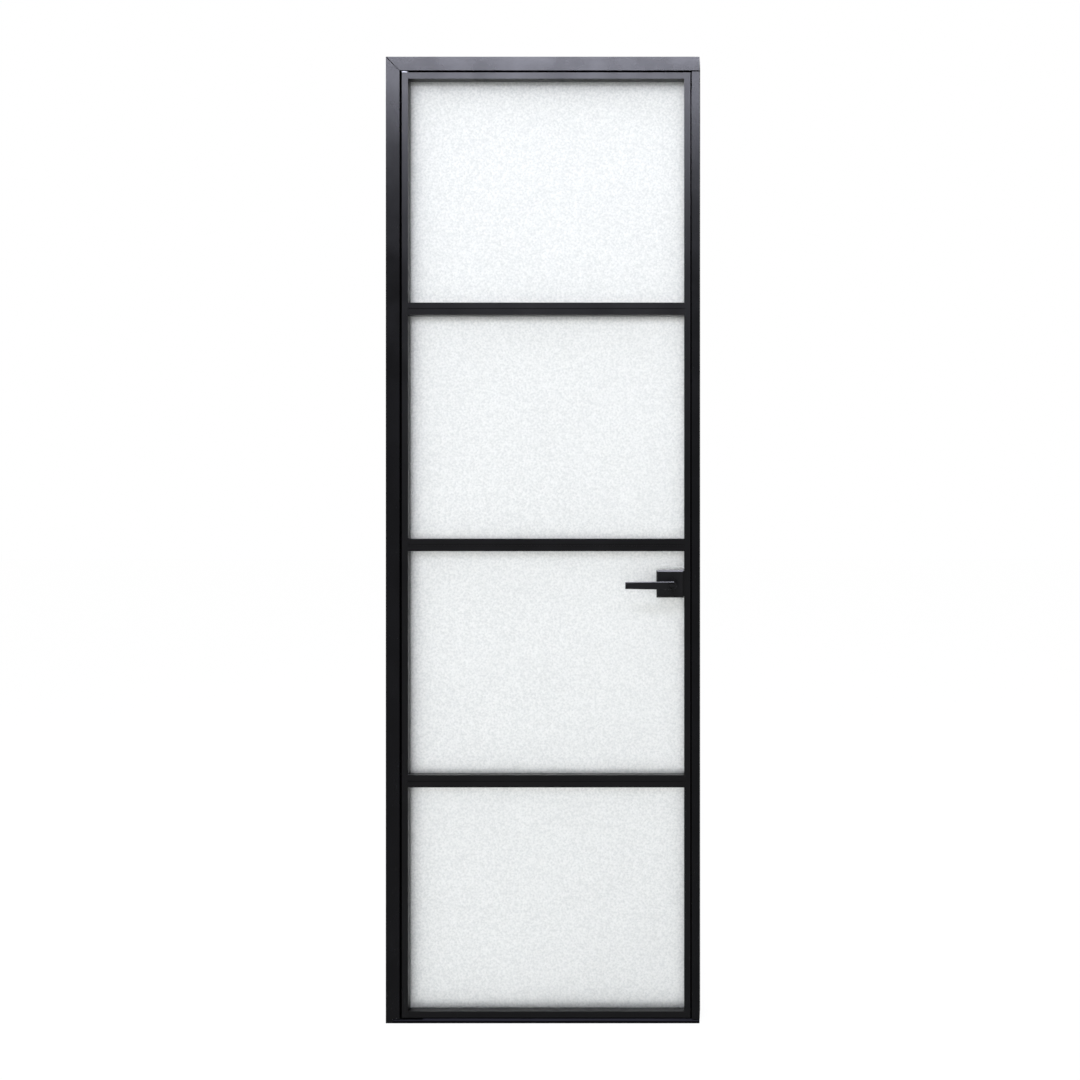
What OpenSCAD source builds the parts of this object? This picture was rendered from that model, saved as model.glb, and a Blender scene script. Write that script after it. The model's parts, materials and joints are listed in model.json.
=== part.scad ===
// Slim framed glass door with its own frame: four obscure panes in a pivoted leaf.
// Millimetres, +Z up, the front (pull side) faces -Y, the hinge side is at -X.
// Origin: middle of the foot, on the mid-plane of the leaf.

/* [Overall] */
// Width over the frame
overall_w = 714; // [600:1:1000]
// Height over the frame
overall_h = 2200; // [1900:1:2500]

/* [Frame] */
// Face of the hinge jamb and of the head
frame_face = 31; // [28:0.5:45]
// Face of the slim strike post
post_face = 17.5; // [17.5:0.5:30]
// Depth of the frame, front to back
frame_depth = 63.5; // [60:0.5:80]
// Wall of the frame tubes
tube_wall = 2; // [1.6:0.1:2.4]
// How far the frame stands proud of the leaf at the front
frame_proud = 1.5; // [0.5:0.1:3]
// Height of the threshold
threshold_h = 9; // [8:0.5:14]
// Width of the hinge jamb's foot outside the threshold
jamb_foot = 16; // [12:0.5:18]
// Shadow line between the head and the strike post
shadow_gap = 3; // [2:0.5:5]
// Width of the clip-on stops
stop_w = 15; // [14:0.5:16]
// Depth of the clip-on stops
stop_d = 13; // [12.5:0.5:15]

/* [Leaf] */
// Thickness of the leaf
leaf_t = 44; // [44:0.5:50]
// Face of the stiles and of the top and bottom rails
member_face = 14; // [14:0.5:20]
// Face of the muntins between the panes
muntin_face = 28; // [26:0.5:40]
// Number of panes, one above the other
pane_count = 4; // [4:1:4]
// Thickness of the glass
glass_t = 8; // [6:0.5:8.5]
// Depth of the glazing slots
slot_depth = 9; // [8:0.5:9]
// Cover of the glass edge inside a slot
edge_cover = 7; // [5:0.5:7]
// Thickness of the glazing gaskets
gasket_t = 2; // [1.5:0.1:2.2]
// How far the rails and muntins lie behind the faces of the stiles
rail_setback = 0.5; // [0.3:0.1:1]
// Width of the groove along the middle of a muntin
groove_w = 2.4; // [1.6:0.1:3]
// Depth of the groove along the middle of a muntin
groove_d = 1.5; // [1:0.1:2]

/* [Gaps] */
// Gap between the leaf and the hinge jamb
hinge_gap = 5; // [5:0.1:7]
// Gap between the leaf and the strike post
lock_gap = 3.5; // [3:0.1:4.5]
// Gap between the leaf and the head
top_gap = 4; // [3.8:0.1:6]
// Gap between the leaf and the threshold
bottom_gap = 3; // [2.5:0.1:6]

/* [Pivots] */
// Diameter of the pivot pins
pin_d = 5; // [4:0.5:5]
// Wall of the pivot bushes
bush_wall = 1; // [0.8:0.1:1]
// Height of the pivot blocks inside the hinge stile
block_h = 40; // [32:1:60]
// Thickness of the cap on top of the hinge stile
cap_t = 2.5; // [2:0.1:2.8]
// Height of the pivot plate's edge flange at the foot of the stile
flange_h = 23; // [18:1:30]

/* [Lock] */
// Drop of the lever axis below the middle muntin
lever_drop = 74.5; // [45:0.5:300]
// Distance of the lever axis from the lock edge of the leaf
backset = 40; // [40:0.5:42]
// Side of the square roses
rose_w = 62; // [58:0.5:66]
// Thickness of the roses
rose_t = 9; // [8:0.5:11]
// Bevel around the face of the roses
rose_bevel = 3; // [2:0.5:4]
// Length of a lever from its axis to its tip
lever_len = 103; // [90:1:125]
// Height of a lever at its root
lever_root = 18; // [18:0.5:22]
// Height of a lever at its tip
lever_tip = 15; // [12:0.5:18]
// Thickness of a lever, front to back
lever_t = 12; // [11:0.5:14]
// Space for the fingers between a rose and its lever
finger_gap = 36; // [32:1:45]
// Diameter of the lever necks
neck_d = 20; // [18:0.5:22]
// Side of the square spindle
spindle_w = 7; // [7:0.5:7]
// Diameter of the tubular latch
latch_d = 22; // [22:0.5:23]
// Projection of the latch bolt from the leaf
bolt_out = 10; // [8:0.5:10]
// Height of the latch bolt
bolt_h = 14; // [10:0.5:14]
// Thickness of the latch bolt
bolt_t = 11; // [8:0.5:11]

/* [Fixings] */
// Diameter of the frame's fixing holes
fix_d = 6.5; // [5:0.5:8]
// Distance between the outer pair of fixings in a jamb
fix_outer = 1800; // [1500:10:1800]
// Distance between the inner pair of fixings in a jamb
fix_inner = 600; // [400:10:900]
// Distance between the fixings in the head
fix_head = 400; // [200:10:450]
// Diameter of the screws that join the leaf
screw_d = 4.4; // [4:0.1:4.6]

/* [Hidden] */
$fn = 64;
eps = 0.01;
cut = 1;

// Clearances
fit = 0.05;
slack = 0.2;
running = 0.4;

// Frame edges
x0 = -overall_w / 2;
x1 = overall_w / 2;
jamb_x = x0 + frame_face;
post_x = x1 - post_face;
head_z = overall_h - frame_face;
front_y = -leaf_t / 2 - frame_proud;
back_y = front_y + frame_depth;
sill_x = x0 + jamb_foot;
post_top = head_z - shadow_gap;
stop_y = back_y - stop_d;
stop_wall = 1.5;
seal_front = leaf_t / 2 + 1.7;

// Leaf edges
leaf_x0 = jamb_x + hinge_gap;
leaf_x1 = post_x - lock_gap;
leaf_z0 = threshold_h + bottom_gap;
leaf_z1 = head_z - top_gap;
light_x0 = leaf_x0 + member_face;
light_x1 = leaf_x1 - member_face;
light_w = light_x1 - light_x0;
light_h = (leaf_z1 - leaf_z0 - 2 * member_face - (pane_count - 1) * muntin_face) / pane_count;
rail_t = leaf_t - 2 * rail_setback;

// Chambers of the extrusions, measured from the leaf's mid-plane and from an outer edge
slot_w = glass_t + 2 * gasket_t;
chamber_in = slot_w / 2 + 2;
stile_wall = 2;
edge_wall = 3;
chamber_out = leaf_t / 2 - stile_wall;
chamber_w = member_face - edge_wall - stile_wall;
rail_wall = 3.5;
rail_out = rail_t / 2 - rail_wall;
port_y = (chamber_in + rail_out) / 2;
port_r = screw_d / 2 + 1.2;
port_u = edge_wall + chamber_w / 2;
head_d = 2 * screw_d - 0.6;
access_d = head_d + 1;

// Heights where the rails and muntins are screwed to the stiles
muntin_zs = [for (i = [1 : pane_count - 1]) light_top(i) + muntin_face / 2];
back_screw_zs = concat([leaf_z1 - port_u], muntin_zs, [leaf_z0 + port_u]);

// Pivot axis
pivot_x = leaf_x0 + port_u;
pivot_y = -(chamber_in + chamber_out) / 2;
bush_d = pin_d + 2 * fit + 2 * bush_wall;
block_depth = chamber_out - chamber_in - slack;
pin_into_leaf = 22;
plate_t = 2;
washer_t = bottom_gap - running;

// Lock
lever_x = leaf_x1 - backset;
lever_z = light_top(2) - lever_drop;
box_w = light_x1 - (lever_x - 32);
box_h = 56;
box_t = 34;
box_x0 = light_x1 - box_w;
box_gasket = 1.5;
rose_x = light_x1 - 1 - rose_w / 2;
rose_y = box_t / 2 + rose_t;
arm_y = rose_y + finger_gap;
lever_y = arm_y + lever_t;
hub_d = 12.2;
case_bore = latch_d - 4;
case_x0 = lever_x - 29;
face_t = 2;
face_w = 22;
face_h = 57;
case_x1 = leaf_x1 - face_t;
turn_d = 15;
rod_d = 3.5;
release_d = 10;
rose_screw_z = 16;
rose_screw_d = 4;
plate_w = 20;
plate_h = 70;
strike_t = 1.5;

// Fixing lines under the clip-on stops
fix_y = (stop_y + back_y) / 2;
fix_z = overall_h / 2;
jamb_fix_zs = [for (s = [-1, 1], d = [fix_outer, fix_inner]) fix_z + s * d / 2];

black = "#1b1b1e";
satin = "#2a2a2e";
zinc = "#b9bcc0";
steel = "#8f9398";
rubber = "#141414";
nylon = "#d9d6cc";
clear = "#e8efef";

// Upper sightline of pane i, counted from the top
function light_top(i) = leaf_z1 - member_face - i * (light_h + muntin_face);

module along_x(a, b) translate([a, 0, 0]) rotate([90, 0, 90]) linear_extrude(b - a) children();
module along_y(a, b) translate([0, b, 0]) rotate([90, 0, 0]) linear_extrude(b - a) children();
module along_z(a, b) translate([0, 0, a]) linear_extrude(b - a) children();
module rect(a, b) translate(a) square(b - a);
module rod_x(a, b, d) rotate([0, 90, 0]) translate([0, 0, a]) cylinder(h = b - a, d = d);
module rod_y(a, b, d) rotate([-90, 0, 0]) translate([0, 0, a]) cylinder(h = b - a, d = d);
module rod_z(a, b, d) translate([0, 0, a]) cylinder(h = b - a, d = d);
module block(a, b) translate(a) cube(b - a);

// A slot with round ends in the plane across its length
module stadium(len, w) {
    square([len - w, w], center = true);
    for (s = [-1, 1]) translate([s * (len - w) / 2, 0]) circle(d = w);
}

module tube_profile(a, b, wall) {
    difference() {
        rect(a, b);
        rect(a + [wall, wall], b - [wall, wall]);
    }
}

// Frame

module mitre_side() {
    // Everything to the left of and below the mitre, seen from the front
    along_y(front_y - cut, back_y + cut)
        polygon([
            [x0 - cut, overall_h + cut],
            [jamb_x + cut, head_z - cut],
            [jamb_x + cut, -cut],
            [x0 - cut, -cut]
        ]);
}

module jamb_fixings(a, b, access_a, access_b) {
    for (z = jamb_fix_zs) translate([0, fix_y, z]) {
        rod_x(a, b, fix_d);
        rod_x(access_a, access_b, 2 * fix_d - 2);
    }
}

module hinge_jamb() {
    color(black) difference() {
        intersection() {
            along_z(0, overall_h) tube_profile([x0, front_y], [jamb_x, back_y], tube_wall);
            mitre_side();
        }
        block([sill_x, front_y - cut, -cut], [jamb_x + cut, back_y + cut, threshold_h]);
        jamb_fixings(x0 - cut, x0 + tube_wall + cut, jamb_x - tube_wall - cut, jamb_x + cut);
    }
}

module head() {
    color(black) difference() {
        along_x(x0, x1) tube_profile([front_y, head_z], [back_y, overall_h], tube_wall);
        mitre_side();
        for (s = [-1, 1]) translate([s * fix_head / 2, fix_y, 0]) {
            rod_z(overall_h - tube_wall - cut, overall_h + cut, fix_d);
            rod_z(head_z - cut, head_z + tube_wall + cut, 2 * fix_d - 2);
        }
        translate([pivot_x, pivot_y, 0]) rod_z(head_z - cut, head_z + tube_wall + cut, pin_d + 1);
    }
}

module strike_post() {
    color(black) difference() {
        along_z(threshold_h, post_top) tube_profile([post_x, front_y], [x1, back_y], tube_wall);
        jamb_fixings(x1 - tube_wall - cut, x1 + cut, post_x - cut, post_x + tube_wall + cut);
        translate([0, 0, lever_z]) {
            along_x(post_x - cut, post_x + strike_t) square([plate_w, plate_h], center = true);
            along_x(post_x - cut, post_x + tube_wall + cut) square([bolt_t + 4, bolt_h + 4], center = true);
            for (s = [-1, 1]) translate([0, 0, s * (plate_h / 2 - 7)])
                rod_x(post_x - cut, post_x + tube_wall + cut, 3.5);
        }
    }
}

module threshold() {
    nose = 3.5;
    color(satin) difference() {
        along_x(sill_x, x1) difference() {
            polygon([
                [front_y, 0],
                [front_y, threshold_h - nose],
                [front_y + nose, threshold_h],
                [back_y, threshold_h],
                [back_y, 0]
            ]);
            for (i = [0 : 2]) translate([front_y + 8 + 18 * i, -cut]) square([12, 3 + cut]);
        }
        translate([pivot_x, pivot_y, 0]) {
            block([-12, -8, threshold_h - plate_t], [40, 8, threshold_h + cut]);
            rod_z(4, threshold_h, pin_d + 2 * fit);
            for (x = [16, 32]) translate([x, 0, 0]) rod_z(3 - cut, threshold_h, 3.5);
        }
    }
}

module corner_cleat() {
    // Cast corner piece inside the mitre; its head leg carries the upper pivot pin
    a = [x0 + tube_wall + slack, front_y + tube_wall + slack];
    b = [jamb_x - tube_wall - slack, back_y - tube_wall - slack];
    low = head_z + tube_wall;
    top = overall_h - tube_wall - slack;
    color(zinc) difference() {
        union() {
            along_z(low - 60, top) rect(a, b);
            along_x(b[0] - eps, pivot_x + 40) rect([a[1], low], [b[1], top]);
        }
        along_z(low - 61, low - 8) rect(a + [4, 4], b - [4, 4]);
        translate([pivot_x, pivot_y, 0]) {
            rod_z(low - cut, top + cut, pin_d + 2 * fit);
            rod_z(top - 4, top + cut, pin_d + 5);
        }
        along_x(pivot_x + 8, pivot_x + 41) rect([a[1] + 4, low + 4], [b[1] - 4, top - 4]);
    }
}

module post_packer() {
    // Recessed spacer that leaves the shadow line, with a spigot inside the post
    inset = 2.5;
    grow = tube_wall + slack;
    color(rubber) {
        along_z(post_top, head_z) rect([post_x + inset, front_y + inset], [x1 - inset, back_y - inset]);
        along_z(post_top - 20, post_top + eps) rect([post_x + grow, front_y + grow], [x1 - grow, back_y - grow]);
    }
}

module head_end_cap() {
    a = [front_y + tube_wall + slack, head_z + tube_wall + slack];
    b = [back_y - tube_wall - slack, overall_h - tube_wall - slack];
    color(black) difference() {
        along_x(x1 - 14, x1) rect(a, b);
        along_x(x1 - 15, x1 - 2) rect(a + [2, 2], b - [2, 2]);
    }
}

// Channel that clips on a jamb: across (0 at the jamb) by depth
module stop_profile() {
    difference() {
        rect([0, stop_y], [stop_w, back_y]);
        rect([-cut, stop_y + stop_wall], [stop_w - stop_wall, back_y - stop_wall]);
    }
}

// Hollow bulb in front of a stop
module seal_profile() {
    r = (stop_y - seal_front) / 2;
    difference() {
        union() {
            translate([stop_w / 2, seal_front + r]) circle(r = r);
            rect([stop_w / 2 - 3, stop_y - 0.8], [stop_w / 2 + 3, stop_y]);
        }
        translate([stop_w / 2, seal_front + r]) circle(r = r - 0.7);
    }
}

module on_hinge_jamb(low) along_z(low, head_z - stop_w) translate([jamb_x, 0]) children();
module on_post(low) along_z(low, head_z - stop_w) translate([post_x, 0]) mirror([1, 0]) children();
// The first axis of a profile turned to run down from the head
module under_head() along_x(jamb_x, post_x) translate([0, head_z]) mirror([0, 1]) mirror([1, -1]) children();

module hinge_stop() { color(black) on_hinge_jamb(threshold_h) stop_profile(); }
module strike_stop() { color(black) on_post(threshold_h) stop_profile(); }
module head_stop() { color(black) under_head() stop_profile(); }
module hinge_seal() { color(rubber) on_hinge_jamb(threshold_h) seal_profile(); }
module strike_seal() { color(rubber) on_post(threshold_h) seal_profile(); }
module head_seal() { color(rubber) under_head() seal_profile(); }

// Pivots

module top_pivot_pin() {
    top = overall_h - tube_wall - slack;
    color(steel) translate([pivot_x, pivot_y, 0]) {
        rod_z(leaf_z1 + cap_t - pin_into_leaf, top - 3, pin_d);
        rod_z(top - 4, top - 1.5, pin_d + 4);
    }
}

module bottom_pivot_plate() {
    color(zinc) translate([pivot_x, pivot_y, 0]) difference() {
        union() {
            block([-12, -8, threshold_h - plate_t], [40, 8, threshold_h]);
            rod_z(4, leaf_z0 + pin_into_leaf, pin_d);
        }
        for (x = [16, 32]) translate([x, 0, 0]) {
            rod_z(0, threshold_h + cut, 3.5);
            translate([0, 0, threshold_h - 1.4]) cylinder(h = 1.4 + eps, d1 = 3.5, d2 = 6.5);
        }
    }
}

module pivot_washer() {
    color(nylon) translate([pivot_x, pivot_y, threshold_h]) difference() {
        cylinder(h = washer_t, d = 12);
        rod_z(-cut, washer_t + cut, pin_d + 2 * fit);
    }
}

module pivot_screws() {
    color(steel) for (x = [16, 32]) translate([pivot_x + x, pivot_y, 0]) {
        rod_z(3, threshold_h - 1, 3.4);
        translate([0, 0, threshold_h - 1.4]) cylinder(h = 1.35, d1 = 3.4, d2 = 6.3);
    }
}

module pivot_bush(low) {
    color(nylon) translate([pivot_x, pivot_y, low]) difference() {
        cylinder(h = pin_into_leaf, d = bush_d);
        rod_z(-cut, pin_into_leaf + cut, pin_d + 2 * fit);
    }
}

module block_profile() square([chamber_w - slack, block_depth], center = true);

module top_pivot_block() {
    round = 4;
    top = leaf_z1 + cap_t;
    color(zinc) difference() {
        union() {
            translate([pivot_x, pivot_y, 0]) along_z(leaf_z1 - block_h, leaf_z1 + eps) block_profile();
            along_z(leaf_z1, top) rect([leaf_x0, -leaf_t / 2], [light_x0 - round, leaf_t / 2]);
            along_z(leaf_z1, top) rect([light_x0 - round - eps, round - leaf_t / 2], [light_x0, leaf_t / 2]);
            translate([light_x0 - round, round - leaf_t / 2, leaf_z1]) cylinder(h = cap_t, r = round);
        }
        translate([pivot_x, pivot_y, 0]) rod_z(top - pin_into_leaf - 3, top + cut, bush_d);
    }
}

module top_pivot_bush() { pivot_bush(leaf_z1 + cap_t - pin_into_leaf); }

module bottom_pivot_block() {
    color(zinc) difference() {
        union() {
            translate([pivot_x, pivot_y, 0]) along_z(leaf_z0, leaf_z0 + block_h) block_profile();
            translate([0, pivot_y, 0])
                block([leaf_x0, -block_depth / 2, leaf_z0], [pivot_x, block_depth / 2, leaf_z0 + flange_h]);
        }
        translate([pivot_x, pivot_y, 0]) rod_z(leaf_z0 - cut, leaf_z0 + pin_into_leaf + 3, bush_d);
    }
}

module bottom_pivot_bush() { pivot_bush(leaf_z0); }

// Strike

module strike_plate() {
    color(steel) translate([0, 0, lever_z]) difference() {
        along_x(post_x, post_x + strike_t) square([plate_w, plate_h], center = true);
        along_x(post_x - cut, post_x + strike_t + cut) square([bolt_t + 2, bolt_h + 2], center = true);
        for (s = [-1, 1]) translate([0, 0, s * (plate_h / 2 - 7)])
            rod_x(post_x - cut, post_x + strike_t + cut, 3.5);
    }
}

module strike_box() {
    deep = post_x + tube_wall + bolt_out - lock_gap + 4;
    color(rubber) translate([0, 0, lever_z]) difference() {
        along_x(post_x + tube_wall, deep) square([bolt_t + 6, bolt_h + 8], center = true);
        along_x(post_x, deep - 1) square([bolt_t + 3, bolt_h + 4], center = true);
    }
}

module strike_screws() {
    color(steel) for (s = [-1, 1]) translate([0, 0, lever_z + s * (plate_h / 2 - 7)])
        rod_x(post_x, post_x + 11, 3.4);
}

// Leaf members

// Half a member: first axis across the leaf, second axis in from the outer edge
module edge_profile(t, wall) {
    out = t / 2 - wall;
    difference() {
        rect([-t / 2, 0], [t / 2, member_face]);
        rect([-slot_w / 2, member_face - slot_depth], [slot_w / 2, member_face + cut]);
        for (s = [0, 1]) mirror([s, 0])
            rect([chamber_in, edge_wall], [out, member_face - stile_wall]);
    }
}

// Round screw port held to the front and back walls of a chamber
module ports(u) {
    for (s = [-1, 1]) translate([s * port_y, u]) difference() {
        union() {
            circle(r = port_r);
            square([rail_out - chamber_in + eps, 1.6], center = true);
        }
        circle(d = screw_d + 2 * fit);
    }
}

module rail_profile() {
    edge_profile(rail_t, rail_wall);
    ports(port_u);
}

module muntin_profile() {
    difference() {
        rect([-rail_t / 2, 0], [rail_t / 2, muntin_face]);
        for (u = [-cut, muntin_face - slot_depth]) translate([-slot_w / 2, u]) square([slot_w, slot_depth + cut]);
        for (s = [0, 1]) mirror([s, 0]) {
            rect([chamber_in, stile_wall], [rail_out, muntin_face - stile_wall]);
            translate([rail_t / 2 - groove_d, muntin_face / 2 - groove_w / 2]) square([groove_d + cut, groove_w]);
        }
    }
    ports(muntin_face / 2);
}

// Holes for the screws into the rails, drilled in from an edge at x = 0
module stile_holes() {
    for (z = back_screw_zs) translate([0, port_y, z]) stile_hole();
    for (z = muntin_zs) translate([0, -port_y, z]) stile_hole();
}

module stile_hole() {
    rod_x(-cut, edge_wall + eps, access_d);
    rod_x(edge_wall, member_face + cut, screw_d + 2 * fit);
}

module hinge_stile() {
    color(black) translate([leaf_x0, 0, 0]) difference() {
        along_z(leaf_z0, leaf_z1) rotate(-90) edge_profile(leaf_t, stile_wall);
        stile_holes();
        translate([0, pivot_y, 0]) block(
            [-cut, -block_depth / 2 - slack / 2, leaf_z0 - cut],
            [edge_wall + cut, block_depth / 2 + slack / 2, leaf_z0 + flange_h + slack / 2]);
    }
}

module lock_stile() {
    color(black) difference() {
        translate([leaf_x1, 0, 0]) mirror([1, 0, 0]) difference() {
            along_z(leaf_z0, leaf_z1) rotate(-90) edge_profile(leaf_t, stile_wall);
            stile_holes();
        }
        translate([0, 0, lever_z]) {
            rod_x(light_x1 - cut, leaf_x1 + cut, latch_d + slack);
            faceplate(leaf_x1 - face_t, leaf_x1 + cut, slack);
            for (s = [-1, 1]) translate([0, 0, s * (face_h / 2 - 7)])
                rod_x(leaf_x1 - edge_wall - 3, leaf_x1 + cut, 3.5);
        }
    }
}

module faceplate(a, b, grow) along_x(a, b) rotate(90) stadium(face_h + grow, face_w + grow);

module rail_at(z) along_x(light_x0, light_x1) translate([0, z]) children();

module top_rail() { color(black) rail_at(leaf_z1) mirror([0, 1]) rail_profile(); }
module bottom_rail() { color(black) rail_at(leaf_z0) rail_profile(); }
module muntin(i) { color(black) rail_at(light_top(i)) muntin_profile(); }
module muntin_upper() { muntin(1); }
module muntin_middle() { muntin(2); }
module muntin_lower() { muntin(3); }

module leaf_screws() {
    length = 30;
    for (side = [0, 1]) color(steel)
        translate([side == 0 ? leaf_x0 : leaf_x1, 0, 0]) mirror([side, 0, 0]) {
            for (z = back_screw_zs) translate([0, port_y, z]) leaf_screw(length);
            for (z = muntin_zs) translate([0, -port_y, z]) leaf_screw(length);
        }
}

module leaf_screw(length) {
    seat = member_face - stile_wall;
    rod_x(seat - eps, seat + length, screw_d);
    rod_x(seat - 3, seat, head_d);
}

module screw_caps() {
    for (side = [0, 1]) color(rubber)
        translate([side == 0 ? leaf_x0 : leaf_x1, 0, 0]) mirror([side, 0, 0]) {
            for (z = back_screw_zs) translate([0, port_y, z]) rod_x(0, edge_wall, access_d - slack);
            for (z = muntin_zs) translate([0, -port_y, z]) rod_x(0, edge_wall, access_d - slack);
        }
}

// Glazing

module pane_outline(i, grow) {
    rect([light_x0 - grow, light_top(i) - light_h - grow], [light_x1 + grow, light_top(i) + grow]);
}

// Room that the lock box takes out of a pane, with its own edge gasket
module lock_notch(grow) {
    rect([box_x0 - grow, lever_z - box_h / 2 - grow], [leaf_x1, lever_z + box_h / 2 + grow]);
}

module pane(i) {
    color(clear) along_y(-glass_t / 2, glass_t / 2) difference() {
        pane_outline(i, edge_cover);
        lock_notch(box_gasket);
    }
}

module pane_1() { pane(0); }
module pane_2() { pane(1); }
module pane_3() { pane(2); }
module pane_4() { pane(3); }

module gaskets(i) {
    color(rubber) for (s = [0, 1]) mirror([0, s, 0]) along_y(glass_t / 2, slot_w / 2) difference() {
        pane_outline(i, edge_cover);
        pane_outline(i, 0);
        lock_notch(box_gasket);
    }
}

module gaskets_1() { gaskets(0); }
module gaskets_2() { gaskets(1); }
module gaskets_3() { gaskets(2); }
module gaskets_4() { gaskets(3); }

module setting_blocks() {
    low = slot_depth - edge_cover;
    color(rubber) for (i = [0 : pane_count - 1], s = [-1, 1]) {
        x = (light_x0 + light_x1) / 2 + s * light_w / 4;
        z = light_top(i) - light_h - slot_depth;
        block([x - 30, -glass_t / 2, z], [x + 30, glass_t / 2, z + low]);
    }
}

module brush_seal() {
    color(rubber) block(
        [light_x0 + 20, 4, threshold_h + running], [light_x1, 8, leaf_z0]);
}

// Lock, latch and roses

module lock_box() {
    color(satin) translate([0, 0, lever_z]) difference() {
        block([box_x0, -box_t / 2, -box_h / 2], [light_x1, box_t / 2, box_h / 2]);
        rod_x(case_x0 - slack, light_x1 + cut, latch_d + slack);
        translate([lever_x, 0, 0]) {
            rod_y(-box_t, box_t, hub_d);
            for (s = [-1, 1]) translate([0, 0, s * rose_screw_z]) rod_y(-box_t, box_t, rose_screw_d + slack);
        }
    }
}

module lock_gasket() {
    color(rubber) along_y(-slot_w / 2, slot_w / 2) intersection() {
        difference() {
            lock_notch(box_gasket);
            lock_notch(0);
        }
        pane_outline(2, 0);
    }
}

module latch_case() {
    color(zinc) translate([0, 0, lever_z]) difference() {
        union() {
            rod_x(case_x0, case_x1 + eps, latch_d);
            faceplate(case_x1, leaf_x1, 0);
        }
        rod_x(case_x0 + 2, case_x1, case_bore);
        along_x(case_x1 - cut, leaf_x1 + cut) square([bolt_t + running, bolt_h + running], center = true);
        translate([lever_x, 0, 0]) rod_y(-latch_d, latch_d, hub_d - 1);
        for (s = [-1, 1]) translate([0, 0, s * (face_h / 2 - 7)]) rod_x(case_x1 - cut, leaf_x1 + cut, 3.5);
    }
}

module latch_screws() {
    color(steel) for (s = [-1, 1]) translate([0, 0, lever_z + s * (face_h / 2 - 7)])
        rod_x(leaf_x1 - edge_wall - 3, leaf_x1, 3.4);
}

module latch_bolt() {
    // Nose bevelled on the closing side, round body, and a yoke that passes the hub
    nose_x = leaf_x1 + bolt_out;
    body_x = case_x1 - 18;
    reach = lever_x - hub_d / 2 - 6;
    r = case_bore / 2 - slack;
    z_in = hub_d / 2 + running;
    z_out = case_bore / 2 - 0.8;
    color(steel) translate([0, 0, lever_z]) {
        along_z(-bolt_h / 2, bolt_h / 2) polygon([
            [case_x1 - 1, -bolt_t / 2],
            [nose_x - 1, -bolt_t / 2],
            [nose_x, 1 - bolt_t / 2],
            [nose_x, 2 - bolt_t / 2],
            [leaf_x1, bolt_t / 2],
            [case_x1 - 1, bolt_t / 2]
        ]);
        rod_x(body_x, case_x1 - 0.5, 2 * r);
        for (s = [0, 1]) mirror([0, 0, s]) block([reach - 3, -2.8, z_in], [body_x + 1, 2.8, z_out]);
        block([reach - 3, -2.8, -z_out], [reach, 2.8, z_out]);
    }
}

// Square plate with a bevelled face, standing on y = 0 and facing -Y
module bevelled_plate() {
    half = rose_w / 2;
    profile = [
        [-half, 0], [-half, rose_bevel - rose_t], [rose_bevel - half, -rose_t],
        [half - rose_bevel, -rose_t], [half, rose_bevel - rose_t], [half, 0]
    ];
    intersection() {
        along_z(-half, half) polygon(profile);
        along_x(-half, half) polygon([for (p = profile) [p[1], p[0]]]);
    }
}

module rose() {
    difference() {
        translate([rose_x, -box_t / 2, lever_z]) bevelled_plate();
        translate([lever_x, 0, lever_z]) {
            rod_y(-rose_y - cut, 0, neck_d + 2 * fit);
            for (s = [-1, 1]) translate([0, 0, s * rose_screw_z]) {
                rod_y(-rose_y - cut, 0, rose_screw_d + slack);
                rod_y(-rose_y - cut, -rose_y + 2.6, 7.6);
            }
        }
    }
}

module rose_front() { color(black) rose(); }
module rose_back() { color(black) mirror([0, 1, 0]) rose(); }

module rose_screws() {
    color(satin) for (s = [-1, 1]) translate([lever_x, 0, lever_z + s * rose_screw_z]) {
        rod_y(-rose_y + 1, rose_y - 1, rose_screw_d);
        for (m = [0, 1]) mirror([0, m, 0]) difference() {
            rod_y(-rose_y + 0.2, -rose_y + 2.6, 7.4);
            translate([0, -rose_y, 0]) rotate([90, 0, 0]) cylinder(h = 2, d = 4.6, $fn = 6, center = true);
        }
    }
}

// Lever seen from the front: round root at the axis, tapering to a square tip
module lever_outline(inset) {
    r = lever_root / 2 - inset;
    tip = lever_tip / 2 - inset;
    past = 3;
    translate([past, 0]) circle(r = r);
    polygon([[past, -r], [past, r], [inset - lever_len, tip], [inset - lever_len, -tip]]);
}

module lever(button_d, button_depth) {
    edge = 1.2;
    translate([lever_x, 0, lever_z]) difference() {
        union() {
            hull() {
                along_y(-lever_y + edge, -arm_y - edge) lever_outline(0);
                along_y(-lever_y, -arm_y) lever_outline(edge);
            }
            rod_y(-arm_y - 1, -box_t / 2 - slack, neck_d);
        }
        along_y(-arm_y, 0) square(spindle_w + 2 * fit, center = true);
        rod_y(-lever_y - cut, -arm_y + cut, rod_d + slack);
        rod_y(-lever_y - cut, -lever_y + button_depth, button_d);
    }
}

module lever_front() { color(black) lever(turn_d, 5); }
module lever_back() { color(black) mirror([0, 1, 0]) lever(release_d + 2 * fit, 4); }

module spindle() {
    color(steel) translate([lever_x, 0, lever_z]) difference() {
        along_y(-arm_y + 2, arm_y - 2) square(spindle_w, center = true);
        rod_y(-arm_y, arm_y, rod_d + slack);
    }
}

module latch_hub() {
    color(zinc) translate([lever_x, 0, lever_z]) difference() {
        rod_y(-case_bore / 2 + 3.5, case_bore / 2 - 3.5, hub_d - running);
        along_y(-latch_d, latch_d) square(spindle_w + 2 * fit, center = true);
    }
}

module turn_button() {
    // Oval thumb turn in the round recess of the front lever
    color(zinc) translate([lever_x, 0, lever_z]) {
        along_y(-lever_y + 0.1, -lever_y + 4) stadium(turn_d - 0.8, 7);
        rod_y(-lever_y + 3.5, -lever_y + 4.7, 9);
    }
}

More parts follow.
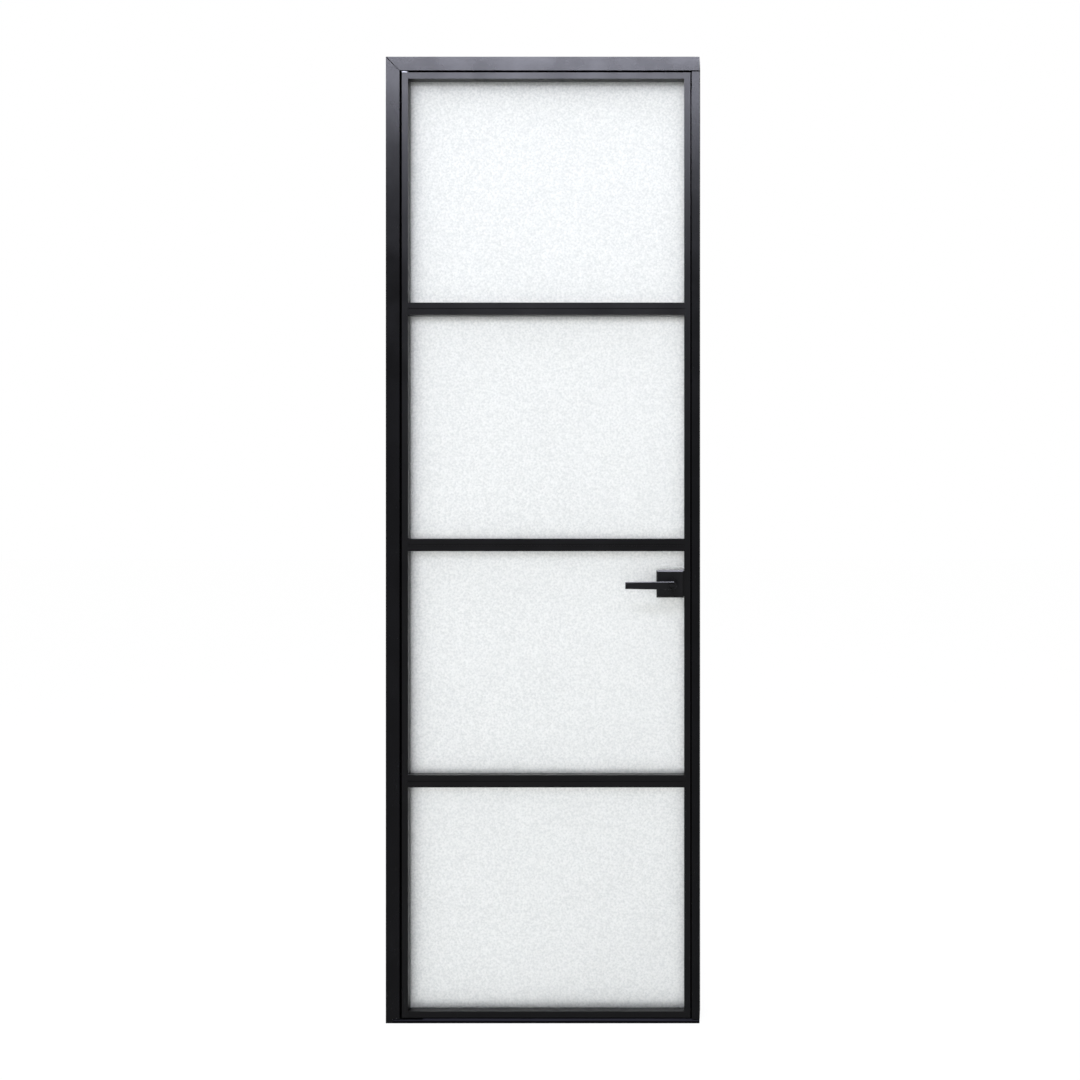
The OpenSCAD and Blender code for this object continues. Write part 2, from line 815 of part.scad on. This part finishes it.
module turn_rod() {
    color(steel) translate([lever_x, 0, lever_z]) rod_y(-lever_y + 4.7, lever_y - 3.7, rod_d);
}

module turn_release() {
    // Coin slot in the back lever
    color(zinc) translate([lever_x, 0, lever_z]) difference() {
        rod_y(lever_y - 3.7, lever_y - 0.1, release_d);
        along_y(lever_y - 2, lever_y + cut) square([6.5, 1.4], center = true);
    }
}

hinge_jamb();
head();
strike_post();
threshold();
corner_cleat();
post_packer();
head_end_cap();
hinge_stop();
head_stop();
strike_stop();
hinge_seal();
head_seal();
strike_seal();
top_pivot_pin();
bottom_pivot_plate();
pivot_washer();
pivot_screws();
strike_plate();
strike_box();
strike_screws();
hinge_stile();
lock_stile();
top_rail();
muntin_upper();
muntin_middle();
muntin_lower();
bottom_rail();
pane_1();
pane_2();
pane_3();
pane_4();
gaskets_1();
gaskets_2();
gaskets_3();
gaskets_4();
setting_blocks();
leaf_screws();
screw_caps();
top_pivot_block();
top_pivot_bush();
bottom_pivot_block();
bottom_pivot_bush();
brush_seal();
lock_box();
lock_gasket();
latch_case();
latch_screws();
rose_front();
rose_back();
rose_screws();
lever_front();
lever_back();
spindle();
latch_hub();
latch_bolt();
turn_button();
turn_rod();
turn_release();
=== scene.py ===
# %% [markdown]
# # A slim framed glass door
#
# The door is a leaf of slim black aluminium sections with four obscure panes, turning on pivots in
# its own frame. Its construction is already packed as a fixed frame in metres: +Z up, the pull
# side towards -Y, the hinge side towards -X. This lesson dresses that frame: it gives every solid
# the finish of the real one, models the stippled face of the glass, and sets the light and camera.

# %% Load the frame
import json
import math

import bpy
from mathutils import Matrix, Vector


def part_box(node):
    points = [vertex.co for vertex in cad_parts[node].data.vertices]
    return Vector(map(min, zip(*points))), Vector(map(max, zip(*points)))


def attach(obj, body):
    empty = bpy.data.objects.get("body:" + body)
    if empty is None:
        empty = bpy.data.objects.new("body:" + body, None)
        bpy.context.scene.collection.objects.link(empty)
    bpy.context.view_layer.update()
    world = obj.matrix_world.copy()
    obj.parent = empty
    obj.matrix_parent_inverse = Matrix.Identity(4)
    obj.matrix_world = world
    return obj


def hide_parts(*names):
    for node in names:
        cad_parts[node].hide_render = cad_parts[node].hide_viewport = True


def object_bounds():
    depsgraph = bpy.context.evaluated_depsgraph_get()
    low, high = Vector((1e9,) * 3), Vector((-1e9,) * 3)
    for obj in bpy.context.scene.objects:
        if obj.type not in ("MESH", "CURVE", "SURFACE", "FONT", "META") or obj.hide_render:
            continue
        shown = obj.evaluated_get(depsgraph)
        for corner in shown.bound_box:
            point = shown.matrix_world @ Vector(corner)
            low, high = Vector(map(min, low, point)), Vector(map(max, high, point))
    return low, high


bpy.ops.wm.read_factory_settings(use_empty=True)
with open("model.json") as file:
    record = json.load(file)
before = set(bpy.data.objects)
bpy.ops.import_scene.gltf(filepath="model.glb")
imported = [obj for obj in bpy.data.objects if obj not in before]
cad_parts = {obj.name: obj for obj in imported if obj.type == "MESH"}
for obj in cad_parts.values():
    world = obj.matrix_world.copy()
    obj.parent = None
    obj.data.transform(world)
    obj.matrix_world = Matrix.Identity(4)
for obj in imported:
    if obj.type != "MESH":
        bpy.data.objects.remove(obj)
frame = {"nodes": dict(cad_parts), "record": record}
cad_low, cad_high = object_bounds()
bpy.ops.object.select_all(action="DESELECT")
MM = 0.001

# %% [markdown]
# ## Two helpers for the finishes
#
# Colours are written as sRGB hex values, the way a paint chart gives them, and shaders work in
# linear light, so one function converts them. A second function adds any node, sets its fields and
# joins its inputs, which keeps each finish below short enough to read in one go.


# %% Colour and node helpers
def linear(hex_colour):
    """The linear RGBA of an sRGB colour such as #1B1B1E."""
    channels = [int(hex_colour[i:i + 2], 16) / 255 for i in (1, 3, 5)]
    return [c / 12.92 if c <= 0.04045 else ((c + 0.055) / 1.055) ** 2.4 for c in channels] + [1.0]


def add(tree, kind, links=None, inputs=None, **fields):
    """Adds a node, sets its fields and unlinked inputs, and links its other inputs to sockets."""
    node = tree.nodes.new(kind)
    for name, value in fields.items():
        setattr(node, name, value)
    for name, value in (inputs or {}).items():
        node.inputs[name].default_value = value
    for name, socket in (links or {}).items():
        tree.links.new(socket, node.inputs[name])
    return node


def new_finish(name):
    """An empty material with its output node and Object coordinates."""
    material = bpy.data.materials.new(name)
    material.use_nodes = True
    tree = material.node_tree
    tree.nodes.clear()
    place = add(tree, "ShaderNodeTexCoord").outputs["Object"]
    output = add(tree, "ShaderNodeOutputMaterial")
    return material, tree, place, output


def ramp(tree, factor, low, high, low_at=0.3, high_at=0.7):
    """Two colours blended by a pattern between two of its values."""
    node = add(tree, "ShaderNodeValToRGB", {"Fac": factor})
    node.color_ramp.elements[0].position = low_at
    node.color_ramp.elements[1].position = high_at
    node.color_ramp.elements[0].color = low
    node.color_ramp.elements[1].color = high
    return node.outputs["Color"]


def per_metre(size_mm):
    """Pattern scale for features of this size."""
    return 1000 / size_mm


print("helpers ready")

# %% [markdown]
# ## Satin black powder coat
#
# The sections are aluminium extrusions with a baked polyester powder coat. Powder melts into a
# skin with a faint orange peel, so it reflects a soft, blurred patch of the lamp and stays nearly
# black elsewhere. The specular levels are matched to this studio, whose surround is dim in
# reflections. The peel is about half a millimetre on the real coat, too fine to show from here, so
# it is drawn a few times coarser.
#
# Head and hinge jamb are cut at 45 degrees and butted after coating, so a hairline of raw edge runs
# across the corner. Along that line the gloss is lost; it is found from the head's box.


# %% Powder coat
HAIRLINE = 1.1 * MM
CLOUD_MM = 90.0
GLOSS_DRIFT = 0.04
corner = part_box("head")[0].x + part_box("head")[1].z


def mitre_line(tree, place):
    """1 along the mitre between head and hinge jamb, and 0 elsewhere."""
    axes = add(tree, "ShaderNodeSeparateXYZ", {"Vector": place})
    total = add(tree, "ShaderNodeMath", {0: axes.outputs["X"], 1: axes.outputs["Z"]}, operation="ADD")
    return add(tree, "ShaderNodeMath", {0: total.outputs["Value"]}, {1: corner, 2: HAIRLINE},
               operation="COMPARE").outputs["Value"]


def powder_coat(name, dark, light, roughness, peel_mm, specular, mitred=False):
    material, tree, place, output = new_finish(name)
    cloud = add(tree, "ShaderNodeTexNoise", {"Vector": place}, {"Scale": per_metre(CLOUD_MM), "Detail": 3.0})
    peel = add(tree, "ShaderNodeTexNoise", {"Vector": place}, {"Scale": per_metre(peel_mm), "Detail": 2.0})
    gloss = add(tree, "ShaderNodeMapRange", {"Value": cloud.outputs["Fac"]},
                {"From Min": 0.3, "From Max": 0.7,
                 "To Min": roughness - GLOSS_DRIFT, "To Max": roughness + GLOSS_DRIFT})
    if mitred:
        gloss = add(tree, "ShaderNodeMath", {0: gloss.outputs["Result"], 1: mitre_line(tree, place)},
                    operation="MAXIMUM")
    bump = add(tree, "ShaderNodeBump", {"Height": peel.outputs["Fac"]},
               {"Strength": 0.12, "Distance": 0.2 * MM})
    shader = add(tree, "ShaderNodeBsdfPrincipled",
                 {"Base Color": ramp(tree, cloud.outputs["Fac"], linear(dark), linear(light)),
                  "Roughness": gloss.outputs[0], "Normal": bump.outputs["Normal"]},
                 {"Specular IOR Level": specular})
    tree.links.new(shader.outputs["BSDF"], output.inputs["Surface"])
    return material


finishes = {
    "frame_coat": powder_coat("satin_black_frame_coat", dark="#060607", light="#0A0A0C",
                              roughness=0.26, peel_mm=2.0, specular=0.22, mitred=True),
    "leaf_coat": powder_coat("satin_black_leaf_coat", dark="#070708", light="#0A0A0B",
                             roughness=0.32, peel_mm=2.0, specular=0.28),
    "handle_coat": powder_coat("matt_black_handle_coat", dark="#08080A", light="#0E0E10",
                               roughness=0.3, peel_mm=1.2, specular=0.42),
}
print("powder coats:", sorted(finishes))

# %% [markdown]
# ## Metals and seals
#
# The threshold is a dark anodised extrusion with die lines along its length. The pivot parts are
# plain cast zinc with a faint mottle, the pins and screws are turned steel. Anodised and turned
# surfaces both carry fine streaks, so one streak pattern stretched along an axis serves both.


# %% Metals
STREAK_STRETCH = 0.02
STREAK_DRIFT = 0.08
MOTTLE_MM = 3.0


def streaked_metal(name, dark, light, roughness, streak_mm, along):
    material, tree, place, output = new_finish(name)
    stretch = [STREAK_STRETCH if axis == along else 1.0 for axis in "xyz"]
    turned = add(tree, "ShaderNodeMapping", {"Vector": place}, {"Scale": stretch})
    streak = add(tree, "ShaderNodeTexNoise", {"Vector": turned.outputs["Vector"]},
                 {"Scale": per_metre(streak_mm), "Detail": 4.0})
    gloss = add(tree, "ShaderNodeMapRange", {"Value": streak.outputs["Fac"]},
                {"To Min": roughness - STREAK_DRIFT, "To Max": roughness + STREAK_DRIFT})
    bump = add(tree, "ShaderNodeBump", {"Height": streak.outputs["Fac"]},
               {"Strength": 0.1, "Distance": 0.1 * MM})
    shader = add(tree, "ShaderNodeBsdfPrincipled",
                 {"Base Color": ramp(tree, streak.outputs["Fac"], linear(dark), linear(light)),
                  "Roughness": gloss.outputs["Result"], "Normal": bump.outputs["Normal"]},
                 {"Metallic": 1.0})
    tree.links.new(shader.outputs["BSDF"], output.inputs["Surface"])
    return material


finishes["sill_metal"] = streaked_metal("dark_anodised_sill", "#17171A", "#202024", 0.4, 1.5, "x")
finishes["bright_steel"] = streaked_metal("turned_steel", "#A5A6A8", "#C2C3C5", 0.3, 0.8, "y")


def cast_zinc(name, dark, light):
    material, tree, place, output = new_finish(name)
    mottle = add(tree, "ShaderNodeTexNoise", {"Vector": place},
                 {"Scale": per_metre(MOTTLE_MM), "Detail": 4.0})
    bump = add(tree, "ShaderNodeBump", {"Height": mottle.outputs["Fac"]},
               {"Strength": 0.2, "Distance": 0.1 * MM})
    shader = add(tree, "ShaderNodeBsdfPrincipled",
                 {"Base Color": ramp(tree, mottle.outputs["Fac"], linear(dark), linear(light)),
                  "Normal": bump.outputs["Normal"]},
                 {"Metallic": 1.0, "Roughness": 0.55})
    tree.links.new(shader.outputs["BSDF"], output.inputs["Surface"])
    return material


finishes["cast_zinc"] = cast_zinc("tumbled_cast_zinc", "#9C9EA2", "#B8BABD")
# A near-black zinc as painted shade, for parts that lie in the shaded gaps round the leaf.
gap_shade_zinc = cast_zinc("zinc_with_painted_gap_shade", "#1A1A1C", "#242427")
print("metals: sill_metal, bright_steel, cast_zinc and", gap_shade_zinc.name)


# %% Rubber and nylon
def moulded(name, dark, light, roughness, grain_mm):
    material, tree, place, output = new_finish(name)
    grain = add(tree, "ShaderNodeTexNoise", {"Vector": place},
                {"Scale": per_metre(grain_mm), "Detail": 3.0})
    bump = add(tree, "ShaderNodeBump", {"Height": grain.outputs["Fac"]},
               {"Strength": 0.2, "Distance": 0.1 * MM})
    shader = add(tree, "ShaderNodeBsdfPrincipled",
                 {"Base Color": ramp(tree, grain.outputs["Fac"], linear(dark), linear(light)),
                  "Normal": bump.outputs["Normal"]},
                 {"Roughness": roughness, "Specular IOR Level": 0.3})
    tree.links.new(shader.outputs["BSDF"], output.inputs["Surface"])
    return material


finishes["black_rubber"] = moulded("black_seal_rubber", "#0B0B0C", "#141415", 0.7, 1.5)
finishes["white_nylon"] = moulded("natural_nylon", "#D6D2C6", "#E2DFD5", 0.45, 2.0)
print("finishes so far:", sorted(finishes))

# %% [markdown]
# ## Obscure glass
#
# The panes are clear glass rolled with a fine stipple on one face, so light from behind comes
# through, blurred to an even pale tone with a faint grain. A rough transmitting shader gives the
# blur, and a diffuse share stands for the light that the many small facets turn back. The grains
# are about 5 mm across; a slight tint follows them, as thicker grains look darker.


# %% Glass
GRAIN_MM = 5.0


def obscure_glass():
    material, tree, place, output = new_finish("stippled_obscure_glass")
    grain = add(tree, "ShaderNodeTexNoise", {"Vector": place},
                {"Scale": per_metre(GRAIN_MM), "Detail": 3.0, "Roughness": 0.65})
    bump = add(tree, "ShaderNodeBump", {"Height": grain.outputs["Fac"]},
               {"Strength": 0.35, "Distance": 0.4 * MM})
    tint = ramp(tree, grain.outputs["Fac"], linear("#D8DBDA"), linear("#FBFCFA"), 0.36, 0.64)
    shader = add(tree, "ShaderNodeBsdfPrincipled",
                 {"Base Color": tint, "Normal": bump.outputs["Normal"]},
                 {"Roughness": 0.8, "IOR": 1.5, "Transmission Weight": 0.86})
    tree.links.new(shader.outputs["BSDF"], output.inputs["Surface"])
    return material


finishes["obscure_glass"] = obscure_glass()
print("glass:", finishes["obscure_glass"].name)

# %% [markdown]
# ### The stippled face
#
# On the real pane the stipple is a shape: a patterned roller presses it into the hot sheet. A bump
# alone would leave a flat mesh, so each pane is modelled as a fine grid the size of the solid,
# pushed in and out by a cloud texture and then given the thickness of the glass. The third pane
# has a notch for the lock box, cut along exact lines with bisect before its faces are deleted.


# %% Stippled panes
CELL_MM = 3.2
RELIEF_MM = 0.6
SMOOTH_DEGREES = 50
NOTCHES = {"pane_3": "lock_gasket"}
stipple = bpy.data.textures.new("rolled_stipple", "CLOUDS")
stipple.noise_scale = GRAIN_MM * MM
stipple.noise_depth = 1


def cut_notch(low, high):
    """Bisects the mesh in edit mode along a notch's edges and deletes the faces inside."""
    for co, no in (((low.x, 0, 0), (1, 0, 0)), ((0, 0, low.z), (0, 0, 1)), ((0, 0, high.z), (0, 0, 1))):
        bpy.ops.mesh.select_all(action="SELECT")
        bpy.ops.mesh.bisect(plane_co=co, plane_no=no)
    bpy.ops.mesh.select_all(action="DESELECT")
    bpy.ops.object.mode_set(mode="OBJECT")
    mesh = bpy.context.object.data
    for face in mesh.polygons:
        face.select = face.center.x > low.x and low.z < face.center.z < high.z
    bpy.ops.object.mode_set(mode="EDIT")
    bpy.ops.mesh.delete(type="FACE")


def stippled_pane(node, notch=None):
    low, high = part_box(node)
    width, depth, height = high - low
    relief = RELIEF_MM * MM
    middle = ((low.x + high.x) / 2, low.y + relief / 2, (low.z + high.z) / 2)
    bpy.ops.object.select_all(action="DESELECT")
    bpy.ops.mesh.primitive_grid_add(
        x_subdivisions=round(width / (CELL_MM * MM)), y_subdivisions=round(height / (CELL_MM * MM)),
        size=1, location=middle, rotation=(math.radians(90), 0, 0))
    pane = bpy.context.object
    pane.name = "stippled_" + node
    pane.scale = (width, height, 1)
    bpy.ops.object.transform_apply(location=True, rotation=True, scale=True)
    if notch:
        bpy.ops.object.mode_set(mode="EDIT")
        cut_notch(*notch)
        bpy.ops.object.mode_set(mode="OBJECT")
    press = pane.modifiers.new("press", "DISPLACE")
    press.texture = stipple
    press.texture_coords = "LOCAL"
    press.strength = relief
    press.mid_level = 0.5
    wall = pane.modifiers.new("sheet", "SOLIDIFY")
    wall.thickness = depth - relief
    wall.offset = -1
    for modifier in ("press", "sheet"):
        bpy.ops.object.modifier_apply(modifier=modifier)
    bpy.ops.object.shade_smooth_by_angle(angle=math.radians(SMOOTH_DEGREES))
    pane.data.materials.append(finishes["obscure_glass"])
    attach(pane, "leaf")
    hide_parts(node)
    return pane


for node in ("pane_1", "pane_2", "pane_3", "pane_4"):
    pane = stippled_pane(node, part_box(NOTCHES[node]) if node in NOTCHES else None)
    print(pane.name, len(pane.data.polygons), "faces")

# %% [markdown]
# ## Finishes on the solids
#
# Each solid of the frame carries the name of its finish, as a drawing's parts list would, so the
# finishes go on in one loop. The lower pivot's plate, screws and washer and the latch bolt lie in
# the gaps round the leaf, where shade falls, so instead of their own finishes they get a near-black
# zinc: painted shade.

# %% Put the finishes on the solids
# These parts lose their own zinc, steel and nylon finishes to the near-black zinc: painted shade in the
# gaps.
SHADE_PAINTED_PARTS = ("bottom_pivot_plate", "pivot_screws", "pivot_washer", "latch_bolt")
for row in frame["record"]["subparts"]:
    solid = frame["nodes"][row["node"]]
    solid.data.materials.clear()
    solid.data.materials.append(finishes[row["material_slot"]])
for name in SHADE_PAINTED_PARTS:
    frame["nodes"][name].data.materials[0] = gap_shade_zinc

# %% [markdown]
# ## Studio
#
# A white room: a pale floor with a small matt share and a white surround. Both are seen white
# through the glass too, and dimmer in the coats, which keeps the black deep. One long softbox
# hangs high in front, where the head reflects it to the camera, so the coat runs from a light grey
# at the head to near black at the foot. A second one overhead lights what faces up: the bevels of
# the lever and rose, and the rails' ledges.


# %% Floor
WHITE = 1.0
MIRRORED = 0.26
AMBIENT = 1.0
GLOW_SHARE = 0.95
FLOOR_CLOUD_MM = 400.0
FLOOR_SIDE = 40.0


def seen_level(tree, path, otherwise):
    """The studio white for what the camera sees, straight or through the glass, else another level."""
    seen = add(tree, "ShaderNodeMath",
               {0: path.outputs["Is Camera Ray"], 1: path.outputs["Is Transmission Ray"]},
               operation="MAXIMUM")
    level = add(tree, "ShaderNodeMapRange", {"Value": seen.outputs["Value"]},
                {"To Min": otherwise, "To Max": WHITE})
    return level.outputs["Result"]


def floor_finish():
    material, tree, place, output = new_finish("pale_studio_floor")
    cloud = add(tree, "ShaderNodeTexNoise", {"Vector": place}, {"Scale": per_metre(FLOOR_CLOUD_MM)})
    matt = add(tree, "ShaderNodeBsdfDiffuse",
               {"Color": ramp(tree, cloud.outputs["Fac"], linear("#F4F4F4"), linear("#F8F8F8"))})
    path = add(tree, "ShaderNodeLightPath")
    glow = add(tree, "ShaderNodeEmission", {"Strength": seen_level(tree, path, MIRRORED)},
               {"Color": (1, 1, 1, 1)})
    direct = add(tree, "ShaderNodeMath", {0: path.outputs["Is Diffuse Ray"]}, {1: 1.0},
                 operation="LESS_THAN")
    share = add(tree, "ShaderNodeMath", {0: direct.outputs["Value"]}, {1: GLOW_SHARE},
                operation="MULTIPLY")
    both = add(tree, "ShaderNodeMixShader", {0: share.outputs["Value"], 1: matt.outputs["BSDF"],
                                              2: glow.outputs["Emission"]})
    tree.links.new(both.outputs["Shader"], output.inputs["Surface"])
    return material


bpy.ops.mesh.primitive_plane_add(size=FLOOR_SIDE, location=(0, 0, 0))
floor = bpy.context.object
floor.name = "studio_floor"
floor.data.materials.append(floor_finish())
print("floor:", FLOOR_SIDE, "m square")

# %% Surround and softboxes
LAMP_COLOUR = (0.84, 0.85, 1.0)
world = bpy.data.worlds.new("white_surround")
bpy.context.scene.world = world
world.use_nodes = True
tree = world.node_tree
tree.nodes.clear()
path = add(tree, "ShaderNodeLightPath")
mirror = add(tree, "ShaderNodeMapRange", {"Value": path.outputs["Is Glossy Ray"]},
             {"To Min": AMBIENT, "To Max": MIRRORED})
strength = add(tree, "ShaderNodeMath", {0: mirror.outputs["Result"], 1: seen_level(tree, path, 0.0)},
               operation="MAXIMUM")
sky = add(tree, "ShaderNodeBackground", {"Strength": strength.outputs["Value"]}, {"Color": (1, 1, 1, 1)})
add(tree, "ShaderNodeOutputWorld", {"Surface": sky.outputs["Background"]})


def softbox(name, place, aim, width, height, power):
    """A soft rectangular lamp at a place, facing an aim point."""
    data = bpy.data.lights.new(name, "AREA")
    data.shape = "RECTANGLE"
    data.size = width
    data.size_y = height
    data.energy = power
    data.color = LAMP_COLOUR
    lamp = bpy.data.objects.new(name, data)
    lamp.location = place
    lamp.rotation_euler = (Vector(aim) - Vector(place)).to_track_quat("-Z", "Y").to_euler()
    bpy.context.scene.collection.objects.link(lamp)
    return lamp


softbox("high_front_softbox", place=(-0.6, -3.2, 3.78), aim=(-0.1, 0, 1.8),
        width=2.6, height=0.4, power=145)
softbox("overhead_softbox", place=(0.2, -0.4, 4.6), aim=(0.2, -0.3, 0),
        width=1.6, height=0.7, power=75)
print("studio lit")

# %% [markdown]
# ## Camera
#
# The photograph looks straight at the door with its upright lines parallel, from a little right of
# the middle, so the camera stays level and is moved sideways, and its lens is shifted back to keep
# the door in the middle of the frame.

# %% Camera
LENS_MM = 32.5
SENSOR_MM = 36.0
SHIFT_X = -0.17
SHIFT_Y = -0.03
FRONT_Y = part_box("hinge_jamb")[0].y
DISTANCE = 2.219
SIDE_STEP = 0.006
span = DISTANCE * SENSOR_MM / LENS_MM
camera_data = bpy.data.cameras.new("camera")
camera_data.lens = LENS_MM
camera_data.sensor_width = SENSOR_MM
camera_data.shift_x = SHIFT_X
camera_data.shift_y = SHIFT_Y
camera = bpy.data.objects.new("camera", camera_data)
camera.location = (-SHIFT_X * span - SIDE_STEP, FRONT_Y - DISTANCE, cad_high.z / 2 - SHIFT_Y * span)
camera.rotation_euler = (math.radians(90), 0, 0)
bpy.context.scene.collection.objects.link(camera)
bpy.context.scene.camera = camera
bpy.context.scene.view_settings.view_transform = "Standard"
print("camera at", [round(c, 3) for c in camera.location])
